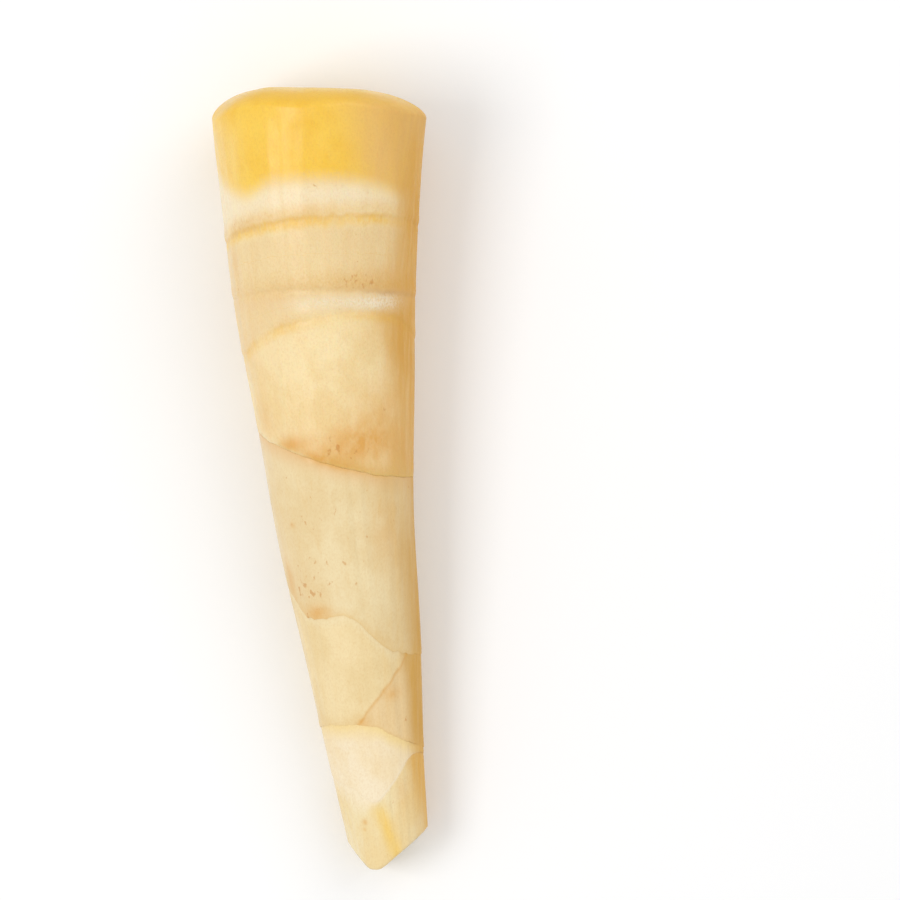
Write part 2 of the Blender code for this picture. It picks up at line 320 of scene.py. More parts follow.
class Skin:
    """The shoot's outer shape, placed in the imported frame.

    Its widest place past the rim touches the stem's box towards +X, and its core ends where that box ends.
    """

    def __init__(self, shape):
        self.shape = shape
        low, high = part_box("culm")
        along = np.linspace(shape.rim_length[1], 2 * shape.rim_length[1], 60)
        widest = (self.bow(along) + self.half_width(along)).max()
        self.shift = np.array([high[0] - widest, low[1] + CORE_END, 0.0])

    def free(self, theta):
        """1 on the free skin, 0 where it lies flat on the floor."""
        return step(np.sin(theta) + cos(self.shape.flat_angle), 0.0, 0.35)

    def swelling(self, s, theta):
        """Broad unevenness that every wrap shares, as depth: slow cosines along the shoot and round it."""
        uneven = waves(np.random.default_rng(self.shape.seed), s, theta, 40, (1, 4), 22.0)
        return 0.17 * MM * uneven * self.free(theta)

    def half_width(self, s):
        """Half the width: a straight taper from the base to the tip."""
        shape = self.shape
        return shape.base_radius + (shape.tip_radius - shape.base_radius) * s / shape.length

    def bow(self, s):
        """Sideways bow: half a sine wave of the 3/4 power of the length."""
        return -self.shape.bow * np.sin(pi * np.power(np.maximum(s, 0) / self.shape.bow_length, 0.75))

    def place(self, s, theta, depth):
        """Points on the skin or a depth under it: an ellipse that the floor cuts off, with a soft corner.

        Near the cut base, sections lean by its slopes.
        """
        a = self.half_width(s)
        b = self.shape.height_ratio * a
        keep = np.clip(1 - (depth + self.swelling(s, theta)) / b, 0, 1.1)
        keep = np.where(depth >= DEEPEST, 0.0, keep)
        floor = -cos(self.shape.flat_angle)
        above = np.sin(theta) - floor
        height = floor + (above + np.hypot(above, 0.02)) / 2
        side, up = keep * a * np.cos(theta), keep * b * height
        fade = np.clip(1 - s / LEAN_LENGTH, 0, 1) ** 2
        lean = (LEAN_SIDE * side + LEAN_UP * up) * fade
        return np.stack([self.bow(s) + side, -s - lean, -b * floor + up], axis=-1) + self.shift

    def tip_cut(self, x):
        """Where the tip's two cuts lie: the length less two slopes that start softly on either side."""

        def past(distance):
            """The distance where it is above 0, and about 0 below, with a soft corner."""
            return (distance + np.hypot(distance, 0.8 * MM)) / 2

        x = x - self.shift[0]
        left, right = LEFT_CUT[0] * past(LEFT_CUT[1] - x), RIGHT_CUT[0] * past(x - RIGHT_CUT[1])
        return self.shape.length - left - right

    def tip_end(self, theta, depth):
        """Where a line at this angle and depth meets the tip's cuts, found in eight steps of trial."""
        s = np.full_like(theta, self.shape.length)
        for _ in range(8):
            s = self.tip_cut(self.place(s, theta, depth)[..., 0])
        return s


class Wrap:
    """One wrap of leaf: the lines where it comes into sight and where it ends, and the wrap over it."""

    def __init__(self, shape, start, end, cover=None):
        self.shape, self.start, self.end, self.cover = shape, start, end, cover

    def outer(self, s, theta):
        """Depth of the outer face: one gap under its cover, and in sight rising to the skin.

        The outermost wrap has no cover, and starts in a shallow groove.
        """
        start = self.start(theta)
        if self.cover is None:
            return 0.05 * MM * bell(s - start, 0.7 * MM)
        under = self.cover.outer(start, theta) + self.shape.edge + self.shape.gap
        rising = np.clip((s - start) / np.maximum(self.end(theta) - start, RISE), 0, 1)
        showing = under * (1 - rising)
        return np.where(s < start, self.cover.inner(s, theta) + self.shape.gap, showing)

    def inner(self, s, theta):
        """Depth of the inner face: the wall thins over the last stretch before the free edge."""
        thick = np.clip((self.end(theta) - s) / TAPER, 0, 1)
        return self.outer(s, theta) + self.shape.edge + (self.shape.wall - self.shape.edge) * thick

    def root(self, theta):
        """Line where the wrap is rooted, hidden under its cover."""
        return self.start(theta) - (HIDDEN if self.cover else -self.shape.gap)


def wraps(shape, skin):
    """The wraps from the outermost to the rolled tip, each covered by the one before it."""
    ring_4 = ragged(RING_4, 41, 0.10 * MM, (4, 34))
    ring_5 = ragged(RING_5, 42, 0.15 * MM)
    ring_6 = ragged(RING_6, 43, 0.08 * MM)
    scale_edge = ragged(SCALE_EDGE, 44, 0.04 * MM)
    first = Wrap(shape, ring_4, ring_5)
    second = Wrap(shape, ring_5, ring_6, first)
    third = Wrap(shape, ring_6, scale_edge, second)
    tip = Wrap(shape, scale_edge, lambda theta: skin.tip_end(theta, 0.0), third)
    return first, second, third, tip


# --- Meshes ---

def columns(count):
    """Even angles round the shoot, for a grid's columns."""
    return np.arange(count) / count * 2 * pi


def blend_rows(low, high, count):
    """Rows between two lines, the first included and the last not."""
    share = (np.arange(count) / count)[:, None]
    return low + (high - low) * share


def stack(*rows):
    """Stacks blocks of rows, stretching single lines to the grid's width."""
    width = max(np.shape(block)[-1] for block in rows if np.ndim(block))
    return np.concatenate([np.broadcast_to(np.atleast_2d(block), (np.atleast_2d(block).shape[0], width))
                           for block in rows])


def surface(name, points, tube, fields, shader, node):
    """One closed piece from a grid of points, with its named fields, material and ties to the frame.

    A tube joins its last row to its first. Otherwise the first and the last row are poles: each becomes one
    point with a fan of triangles.
    """
    rows, width = points.shape[:2]
    index = np.arange(rows * width).reshape(rows, width)
    keep = np.ones(rows * width, bool)
    if not tube:
        for pole in (0, rows - 1):
            index[pole] = index[pole, 0]
            keep[pole * width + 1:(pole + 1) * width] = False
    number = np.cumsum(keep) - 1
    index = number[index]
    last = rows if tube else rows - 1
    here, after = index[np.arange(last)], index[(np.arange(last) + 1) % rows]
    quads = np.stack([here, np.roll(here, -1, 1), np.roll(after, -1, 1), after], axis=-1).reshape(-1, 4)
    if tube:
        faces = quads.tolist()
    else:
        fan, tail = quads[:width], quads[-width:]
        faces = fan[:, [0, 2, 3]].tolist() + quads[width:-width].tolist() + tail[:, [0, 1, 2]].tolist()

    mesh = bpy.data.meshes.new(name)
    mesh.from_pydata(points.reshape(-1, 3)[keep].tolist(), [], faces)
    mesh.update()
    for field, values in fields.items():
        spread = np.broadcast_to(values, (rows, width)).reshape(-1)[keep]
        layer = mesh.attributes.new(field, "FLOAT", "POINT")
        layer.data.foreach_set("value", spread.astype(np.float32))
    mesh.shade_smooth()
    mesh.materials.append(shader)
    piece = bpy.data.objects.new(name, mesh)
    bpy.context.scene.collection.objects.link(piece)
    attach(piece, "root")
    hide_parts(node)


# --- Shader nodes ---

class Nodes:
    """Short calls that add shader nodes to a tree and give back their output sockets."""

    def __init__(self, tree):
        self.tree = tree

    def add(self, kind, *values, out=0, **settings):
        """Adds a node, sets its options, and links or sets its inputs in order."""
        node = self.tree.nodes.new(kind)
        for option, setting in settings.items():
            setattr(node, option, setting)
        for socket, value in zip(node.inputs, values):
            self.feed(socket, value)
        return node.outputs[out]

    def feed(self, socket, value):
        """Links a socket to another, or sets its value."""
        if isinstance(value, bpy.types.NodeSocket):
            self.tree.links.new(value, socket)
        else:
            socket.default_value = (*value, 1.0) if socket.type == "RGBA" and len(value) == 3 else value

    def math(self, operation, *values):
        """One Math node."""
        return self.add("ShaderNodeMath", *values, operation=operation)

    def times(self, first, second):
        """Product of two values."""
        return self.math("MULTIPLY", first, second)

    def plus(self, value, more, amount):
        """A value plus an amount of another."""
        return self.math("MULTIPLY_ADD", more, amount, value)

    def shaken(self, value, noise, amount):
        """A value made uneven: plus an amount of the noise less a half."""
        return self.plus(value, self.math("SUBTRACT", noise, 0.5), amount)

    def mix(self, factor, first, second):
        """Colour mix from first to second."""
        node = self.tree.nodes.new("ShaderNodeMix")
        node.data_type = "RGBA"
        for socket, value in zip((node.inputs[0], node.inputs[6], node.inputs[7]), (factor, first, second)):
            self.feed(socket, value)
        return node.outputs[2]

    def ramp(self, value, low, high, first=0.0, last=1.0):
        """Smooth step of a value from first at low to last at high."""
        return self.add("ShaderNodeMapRange", value, low, high, first, last, interpolation_type="SMOOTHSTEP")

    def band(self, value, low, rise, fall, high):
        """1 between rise and fall, and 0 below low and above high, with smooth steps between them."""
        return self.times(self.ramp(value, low, rise), self.ramp(value, fall, high, 1.0, 0.0))

    def fill(self, kind, inputs):
        """A node of a kind, with its inputs fed by their names."""
        node = self.tree.nodes.new(kind)
        for name, value in inputs.items():
            self.feed(node.inputs[name], value)
        return node

    def noise(self, position, scale, detail=2.0, roughness=0.5):
        """Noise from 0 to 1 about 0.5, `scale` cells to the metre."""
        return self.fill("ShaderNodeTexNoise", {"Vector": position, "Scale": scale, "Detail": detail,
                                                "Roughness": roughness}).outputs[0]

    def stretched(self, position, along):
        """Position with its Y scaled: below 1, a pattern is drawn out along the shoot."""
        return self.fill("ShaderNodeMapping", {"Vector": position, "Scale": (1.0, along, 1.0)}).outputs[0]

    def field(self, name):
        """A field kept on the mesh."""
        return self.add("ShaderNodeAttribute", attribute_name=name, out=2)

    def lay(self, colour, name, tint=None, uneven=None):
        """Lays a tint, or the one of the field's name, where a field says, broken up by a pattern."""
        mask = self.field(name)
        return self.mix(self.times(mask, uneven) if uneven else mask, colour, tint or TINT[name])

    def give(self, end, *values):
        """Feeds a group's outputs in order, and gives the finished group."""
        for socket, value in zip(end.inputs, values):
            self.feed(socket, value)
        return self.tree


def group(name, inputs, outputs):
    """Starts a node group whose sockets are all values but the position.

    Gives its nodes, its input sockets by name and its output node.
    """
    tree = bpy.data.node_groups.new(name, "ShaderNodeTree")
    for way, labels in (("INPUT", inputs), ("OUTPUT", outputs)):
        for label in labels:
            kind = "NodeSocketVector" if label == "Position" else "NodeSocketFloat"
            tree.interface.new_socket(name=label, in_out=way, socket_type=kind)
    start, end = tree.nodes.new("NodeGroupInput"), tree.nodes.new("NodeGroupOutput")
    return Nodes(tree), {socket.name: socket for socket in start.outputs}, end


def use(nodes, tree, **values):
    """Places a node group in a material; an input's name has _ for each space. Gives its output sockets."""
    node = nodes.tree.nodes.new("ShaderNodeGroup")
    node.node_tree = tree
    for label, value in values.items():
        nodes.feed(node.inputs[label.replace("_", " ").title()], value)
    return {socket.name: socket for socket in node.outputs}


def grain_group():
    """Flesh grain: broad mottle, patches, fibres along the shoot, fine grain, and their height together."""
    nodes, given, end = group("Flesh Grain", ["Position", "Fibre Scale"],
                              ["Mottle", "Patch", "Fibre", "Fine", "Height"])
    position = given["Position"]
    mottle = nodes.noise(nodes.stretched(position, 0.7), 95.0, 4.0, 0.6)
    patch = nodes.noise(nodes.stretched(position, 0.7), 330.0, 3.0, 0.65)
    fibre = nodes.noise(nodes.stretched(position, 0.08), given["Fibre Scale"], 3.0, 0.6)
    fine = nodes.noise(nodes.stretched(position, 0.6), 2300.0, 3.0, 0.65)
    height = nodes.plus(nodes.plus(nodes.times(fine, 0.5), fibre, 0.6), mottle, 0.8)
    return nodes.give(end, mottle, patch, fibre, fine, height)


def ring_group():
    """Ring stain from the millimetres past a ring: brown fuzz up to its line, the line, and yellow on it."""
    nodes, given, end = group("Ring Stain", ["Position", "Distance", "Reach"], ["Fuzz", "Line", "Yellow"])
    streak = nodes.noise(nodes.stretched(given["Position"], 0.3), 1300.0, 3.0, 0.65)
    cloud = nodes.noise(given["Position"], 150.0, 3.0, 0.6)
    wobble = nodes.noise(given["Position"], 600.0, 3.0, 0.6)
    near = nodes.shaken(given["Distance"], wobble, 1.0)
    hair = nodes.shaken(nodes.math("DIVIDE", given["Distance"], given["Reach"]), streak, 5.0)
    fuzz = nodes.times(nodes.band(hair, -3.6, -1.0, -0.2, 0.9), nodes.ramp(cloud, 0.32, 0.62, 0.25, 1.0))
    line = nodes.times(nodes.band(near, -1.3, -0.1, 0.0, 0.9), nodes.ramp(cloud, 0.3, 0.6, 1.0, 0.35))
    yellow = nodes.times(nodes.band(near, -1.3, 0.1, 0.8, 3.1), nodes.ramp(streak, 0.36, 0.6, 0.6, 1.0))
    return nodes.give(end, fuzz, line, yellow)


def speck_group():
    """Small brown specks: the peaks of a fine noise, with more of them where the amount is high."""
    nodes, given, end = group("Specks", ["Position", "Amount"], ["Mask"])
    fine = nodes.noise(nodes.stretched(given["Position"], 0.6), 750.0, 3.0, 0.5)
    cloud = nodes.noise(given["Position"], 240.0, 1.0)
    peak = nodes.plus(nodes.plus(fine, given["Amount"], 0.19), cloud, 0.3)
    return nodes.give(end, nodes.ramp(peak, 0.9, 0.99))


def fibre_end_group():
    """Cut fibres on a face across the shoot: small dots, closer together near the rim, and their height."""
    nodes, given, end = group("Fibre Ends", ["Position", "Rim"], ["Dots", "Height"])
    flat = nodes.stretched(given["Position"], 0.05)
    masks = []
    for scale, size, low, high in ((520.0, 0.30, -0.2, 0.45), (900.0, 0.32, 0.4, 0.8)):
        cell = nodes.fill("ShaderNodeTexVoronoi", {"Vector": flat, "Scale": scale})
        dot = nodes.ramp(cell.outputs["Distance"], size * 0.4, size, 1.0, 0.0)
        masks.append(nodes.times(dot, nodes.ramp(given["Rim"], low, high)))
    dots = nodes.math("MAXIMUM", *masks)
    rough = nodes.noise(given["Position"], 800.0, 3.0, 0.7)
    return nodes.give(end, dots, nodes.plus(rough, dots, 0.5))


def film_group():
    """Wet film: roughness and coat that change in soft patches over the surface."""
    nodes, given, end = group("Wet Film", ["Position", "Wetness", "Dryness"], ["Roughness", "Coat"])
    patch = nodes.noise(given["Position"], 60.0, 3.0, 0.6)
    fine = nodes.noise(nodes.stretched(given["Position"], 0.3), 700.0, 2.0, 0.5)
    rough = nodes.math("ADD", nodes.ramp(patch, 0.3, 0.7, 0.34, 0.5), nodes.times(fine, 0.12))
    rough = nodes.plus(rough, given["Dryness"], 0.25)
    coat = nodes.times(given["Wetness"], nodes.ramp(patch, 0.35, 0.75, 1.0, 0.4))
    coat = nodes.times(coat, nodes.ramp(given["Dryness"], 0.0, 1.0, 1.0, 0.2))
    return nodes.give(end, rough, coat)


def shared(name, make):
    """A node group made once and used by all materials."""
    return bpy.data.node_groups.get(name) or make()


# --- Materials ---

class Finish:
    """The colours that are set, the shared node groups, and the materials that are made with them."""

    def __init__(self, colours):
        self.colours = colours
        self.grain = shared("Flesh Grain", grain_group)
        self.rings = shared("Ring Stain", ring_group)
        self.specks = shared("Specks", speck_group)
        self.fibre_ends = shared("Fibre Ends", fibre_end_group)
        self.film = shared("Wet Film", film_group)

    def begin(self, name, fibre_scale):
        """Starts a material; gives it, its nodes, the position that its patterns read, and its grain."""
        made = bpy.data.materials.new(name)
        made.use_nodes = True
        made.node_tree.nodes.clear()
        nodes = Nodes(made.node_tree)
        position = nodes.add("ShaderNodeTexCoord", out=3)
        return made, nodes, position, use(nodes, self.grain, position=position, fibre_scale=fibre_scale)

    def free_edge(self, nodes, grain, colour, reach, strength):
        """Golden-tan blotches that gather before a free edge, and a soft line on it.

        They come from the millimetres to the edge, made uneven, by a smooth step over the reach.
        """
        edge = nodes.field("edge")
        uneven = nodes.shaken(edge, grain["Mottle"], 2.2 * reach)
        uneven = nodes.shaken(uneven, grain["Fibre"], 0.8 * reach)
        band = nodes.times(nodes.ramp(uneven, -reach, -0.1 * reach), 0.75 * strength)
        colour = nodes.mix(band, colour, TINT["smear"])
        line = nodes.times(nodes.ramp(edge, -1.1, 0.0), nodes.ramp(grain["Mottle"], 0.35, 0.6, 0.8, 0.3))
        return nodes.mix(nodes.times(line, strength), colour, TINT["seam"])

    def complete(self, nodes, position, grain, colour, height, dryness, depth=0.0):
        """Lays specks and fine grain over the colour, and ends the material with its wet shader and bump."""
        dots = use(nodes, self.specks, position=position, amount=nodes.field("fleck"))["Mask"]
        colour = nodes.mix(nodes.times(dots, 0.55), colour, TINT["speck"])
        colour = nodes.mix(nodes.ramp(grain["Fine"], 0.40, 0.75, 0.0, 0.17), colour, TINT["grain"])
        film = use(nodes, self.film, position=position, wetness=self.colours.wetness, dryness=dryness)
        bump = nodes.fill("ShaderNodeBump", {"Strength": 0.6, "Distance": 0.28 * MM, "Height": height})
        shader = nodes.fill("ShaderNodeBsdfPrincipled", {
            "Base Color": colour, "Roughness": film["Roughness"], "Coat Weight": film["Coat"],
            "Normal": bump.outputs[0], "Metallic": 0.0, "IOR": 1.4, "Specular IOR Level": 0.32,
            "Coat Roughness": 0.19, "Coat IOR": 1.33, "Subsurface Weight": depth,
            "Subsurface Radius": (1.0, 0.6, 0.3), "Subsurface Scale": 2.5 * MM})
        nodes.fill("ShaderNodeOutputMaterial", {"Surface": shader.outputs[0]})

    def stem(self):
        """Stem flesh: golden collar, cream above it, three rings, stains, bloom and the cut face."""
        colours = self.colours
        made, nodes, position, grain = self.begin("stem flesh", 520.0)
        ring = use(nodes, self.rings, position=position, distance=nodes.field("ring"),
                   reach=nodes.field("reach"))
        ends = use(nodes, self.fibre_ends, position=position, rim=nodes.field("rim"))
        fibrous = nodes.ramp(grain["Fibre"], 0.3, 0.62, 0.7, 1.0)
        colour = nodes.mix(nodes.ramp(grain["Mottle"], 0.36, 0.62), colours.cream, TINT["deep cream"])
        smeared = nodes.ramp(grain["Fine"], 0.3, 0.65, 0.6, 1.0)
        for name, uneven in (("pale", None), ("wash", fibrous), ("flush", fibrous), ("smear", smeared)):
            colour = nodes.lay(colour, name, uneven=uneven)
        fray = nodes.times(nodes.math("SUBTRACT", grain["Mottle"], 0.5), 4.0)
        fray = nodes.shaken(fray, grain["Fine"], 2.5)
        golden = nodes.ramp(nodes.math("ADD", nodes.field("collar"), fray), -2.6, 2.6, 1.0, 0.0)
        # Painted reflection: the golden is paler towards the left side near the base.
        golden = nodes.times(golden, nodes.field("collar strength under painted reflection"))
        deep = nodes.mix(nodes.ramp(grain["Mottle"], 0.38, 0.7), colours.golden, TINT["deep golden"])
        streaked = nodes.ramp(grain["Fibre"], 0.25, 0.65, 0.8, 1.0)
        deep = nodes.lay(deep, "collar tan", uneven=streaked)
        colour = nodes.mix(golden, colour, deep)
        yellow = nodes.times(ring["Yellow"], nodes.field("yellow"))
        colour = nodes.mix(yellow, colour, colours.ring_yellow)
        # The darker side towards +X: partly tan flesh, partly painted shade.
        colour = nodes.lay(colour, "side", colours.tan, nodes.ramp(grain["Fibre"], 0.25, 0.65, 0.75, 1.0))
        colour = nodes.mix(nodes.ramp(grain["Fibre"], 0.52, 0.78, 0.0, 0.14), colour, TINT["fibre"])
        colour = nodes.lay(colour, "stain", TINT["orange"], nodes.ramp(grain["Patch"], 0.32, 0.62, 0.6, 1.0))
        colour = nodes.mix(nodes.times(ring["Fuzz"], nodes.field("fuzz")), colour, TINT["fuzz"])
        line = nodes.times(ring["Line"], nodes.field("line"))
        colour = nodes.mix(line, colour, colours.ring_brown)
        colour = self.free_edge(nodes, grain, colour, 5.0, 0.75)
        bloom = nodes.times(nodes.field("bloom"), nodes.ramp(grain["Fine"], 0.35, 0.6, 0.3, 1.0))
        colour = nodes.mix(bloom, colour, TINT["bloom"])

        face = nodes.field("face")
        colour = nodes.lay(colour, "worn", TINT["rim"])
        flesh = nodes.mix(nodes.field("rim"), TINT["cut"], colours.golden)
        flesh = nodes.mix(nodes.ramp(grain["Mottle"], 0.4, 0.7, 0.0, 0.5), flesh, TINT["deep cream"])
        flesh = nodes.mix(nodes.times(ends["Dots"], 0.45), flesh, TINT["cut dot"])
        colour = nodes.mix(face, colour, flesh)
        height = nodes.plus(grain["Height"], bloom, 0.9)
        height = nodes.plus(height, nodes.times(ends["Height"], face), 0.8)
        dryness = nodes.math("MAXIMUM", nodes.times(nodes.field("side"), 0.9), bloom)
        self.complete(nodes, position, grain, colour, height, dryness, 0.25)
        return made

    def leaf(self, name, main, second, side, entry, veins, stained_edge):
        """Leaf of a wrap: mottled flesh with veins, the colour `entry` where it comes out, a stained edge, a
        darker side that is partly painted shade, and a painted highlight.
        """
        made, nodes, position, grain = self.begin(name, 640.0)
        fibrous = nodes.ramp(grain["Fibre"], 0.3, 0.62, 0.7, 1.0)
        out = nodes.shaken(nodes.field("entry"), grain["Mottle"], 1.2)
        out = nodes.shaken(out, grain["Fine"], 0.5)
        colour = nodes.mix(nodes.ramp(grain["Mottle"], 0.36, 0.62), main, second)
        colour = nodes.lay(colour, "flush")
        colour = nodes.mix(nodes.ramp(out, -0.1, 1.1, 0.9, 0.0), colour, entry)
        # The darker side towards +X: partly the leaf's own tan, partly painted shade.
        colour = nodes.lay(colour, "side", side, nodes.ramp(grain["Fibre"], 0.25, 0.6, 0.8, 1.0))
        colour = nodes.mix(nodes.ramp(grain["Fibre"], 0.52, 0.76, 0.0, veins), colour, TINT["fibre"])
        start = nodes.ramp(nodes.field("start"), 0.0, 1.0, 1.0, 0.0)
        seam = nodes.times(nodes.field("seam"), nodes.ramp(grain["Mottle"], 0.35, 0.62, 1.0, 0.45))
        colour = nodes.mix(nodes.times(start, seam), colour, TINT["seam"])
        colour = self.free_edge(nodes, grain, colour, 4.0, stained_edge)
        colour = nodes.lay(colour, "stain", TINT["orange"], nodes.ramp(grain["Patch"], 0.32, 0.62, 0.6, 1.0))
        colour = nodes.lay(colour, "crease", uneven=fibrous)
        # Painted highlight, in the bloom colour, where the field says.
        colour = nodes.lay(colour, "bright", TINT["bloom"])
        colour = nodes.lay(colour, "layers", TINT["cut dot"])
        self.complete(nodes, position, grain, colour, grain["Height"], nodes.times(nodes.field("side"), 0.9))
        return made


def floor_material(stage):
    """Plain pale matt floor with a trace of unevenness."""
    made = bpy.data.materials.new("pale floor")
    made.use_nodes = True
    nodes = Nodes(made.node_tree)
    shader = made.node_tree.nodes["Principled BSDF"]
    soft = nodes.noise(nodes.add("ShaderNodeTexCoord", out=3), 9.0, 2.0)
    pale = tuple(0.985 * channel for channel in stage.floor)
    nodes.feed(shader.inputs["Base Color"], nodes.mix(soft, tuple(stage.floor), pale))
    shader.inputs["Roughness"].default_value = 0.7
    shader.inputs["Specular IOR Level"].default_value = 0.2
    return made


# --- Pieces ---

def tan_and_painted_shade(s, theta, rng, slow=0.15):
    """The shoot's darker side, towards +X, partly its own tan and partly painted shade: a slow and a steep
    smooth step of the angle's cosine, uneven.
    """
    border = 0.06 * waves(rng, s, theta, 24, (1, 6), 30.0)
    across = np.cos(theta) + border
    return slow * step(across, 0.1, 0.8) + 0.85 * step(across, 0.56, 1.04)


def fine_relief(s, theta, rng, veins):
    """Relief of grown flesh, as depth: flutes along the shoot, and veins of a given height."""
    flutes = 0.04 * MM * waves(rng, s, theta, 40, (12, 34), 9.0)
    return flutes + veins * waves(rng, s, theta, 40, (60, 130), 6.0)


def node_ring(s, ring, ridge, groove):
    """Profile of a node ring as depth: a low ridge before the line, a groove on it, a faint dip after it."""
    past = s - ring
    before, after = bell(past + 1.6 * MM, 1.5 * MM), bell(past - 2.4 * MM, 1.8 * MM)
    return -ridge * before + groove * bell(past, 0.7 * MM) + 0.3 * groove * after


def stem_fields(s, theta, rng, skin, rings, shoulder):
    """The patterns of the stem's skin: stains and washes, a darker side that is partly painted shade, and a
    painted reflection that pales the collar on the left, each a product of smooth steps and bell curves.

    They are placed by the nearest ring, by the collar's border, and as spots.
    """
    first, second, third = (curve(theta) for curve in rings)
    millimetres = [(s - line) / MM for line in (first, second, third)]
    nearest = np.argmin(np.abs(millimetres), axis=0)

    def pick(*strengths):
        """The strength that belongs to the nearest ring."""
        return np.choose(nearest, [strength + 0 * s for strength in strengths])

    patch = step(waves(np.random.default_rng(PATCH_SEED), s, theta, 30, (1, 9), 25.0), -1.6, 0.9)
    left, right = facing(theta, 165, 45), facing(theta, 45, 50)
    collar = closed_curve(COLLAR_LINE)(theta)
    pale = 0.8 * step(s, collar, collar + 4 * MM) * step(first - s, 1 * MM, 5 * MM)
    flush = 0.3 * bell(s - (first - 2.0 * MM), 2.2 * MM) + 0.4 * left * bell(s - 63 * MM, 9 * MM)
    flush = flush + 0.3 * bell(s - (shoulder - 3 * MM), 4 * MM)
    flush = flush + 0.4 * bell(s - (second + 2 * MM), 2.5 * MM)
    stain = spots(s, theta, [(0.3, 41.5, 160, 5, 7), (0.25, 47, 50, 2.2, 24), (0.9, 88, 66, 5.5, 32),
                             (0.7, 87, 124, 1.8, 13)])
    stain = stain + 0.65 * bell(s - (shoulder - 0.5 * MM), 1.3 * MM) * facing(theta, 92, 30)
    stain = spots(s, theta, [(0.35, 53, 8, 3, 14), (0.3, 79, 150, 5, 12), (0.35, 79, 48, 6, 22),
                             (0.4, 91, 95, 3, 18)], stain)
    bloom = spots(s, theta, [(0.85, 54, 54, 1.9, 22), (0.55, 53, 92, 1.7, 22), (0.3, 58, 300, 2.5, 30)])
    fleck = 0.8 * bell(s - (first - 1.5 * MM), 1.8 * MM) * facing(theta, 140, 22)
    fleck = fleck + bell(s - (second - 2 * MM), 2.5 * MM) * facing(theta, 65, 26)
    fleck = spots(s, theta, [(1, 90, 85, 3.5, 20), (0.5, 45, 155, 6, 16)], fleck)
    return {
        "ring": pick(*millimetres),
        "reach": pick(1.1, 0.7, 0.6),
        "fuzz": pick(0.12 + 0.4 * left, 0.08 + 0.45 * right, 0.15) * (0.4 + 0.6 * patch),
        "line": pick(0.10, 0.04 + 0.35 * right, 0.05) * (0.3 + 0.7 * patch),
        "yellow": pick(0.8, 0.1, 0.45 + 0.25 * right) * (0.4 + 0.6 * patch),
        "collar": (s - collar) / MM,
        # Painted reflection: the collar's golden fades by up to 0.35 on the left side, from 4 to 14 mm on.
        "collar strength under painted reflection": 1 - 0.35 * step(-np.cos(theta), 0.6, 1.0) * step(s, 4 * MM, 14 * MM),
        "collar tan": step(np.cos(theta) + 0.06 * waves(rng, s, theta, 20, (1, 6), 30.0), 0.02, 0.6),
        # Partly tan flesh and partly painted shade on the side towards +X.
        "side": tan_and_painted_shade(s, theta, rng, 0.2 * step(s, 22 * MM, 34 * MM)),
        "pale": pale * (1 - 0.6 * step(np.cos(theta), 0.3, 0.9)),
        "wash": step(s, first + 1 * MM, first + 4 * MM) * step(third - s, 0, 2 * MM),
        "flush": np.clip(flush, 0, 1) * (0.4 + 0.6 * patch),
        "smear": (0.25 + 0.55 * right) * bell(s - (second - 1.8 * MM), 2.4 * MM),
        "stain": np.clip(stain, 0, 1),
        "bloom": np.clip(bloom, 0, 1) * skin.free(theta),
        "fleck": np.clip(fleck, 0, 1),
        "edge": (s - shoulder) / MM - 5 * step(-np.cos(theta), -0.05, 0.45),
    }


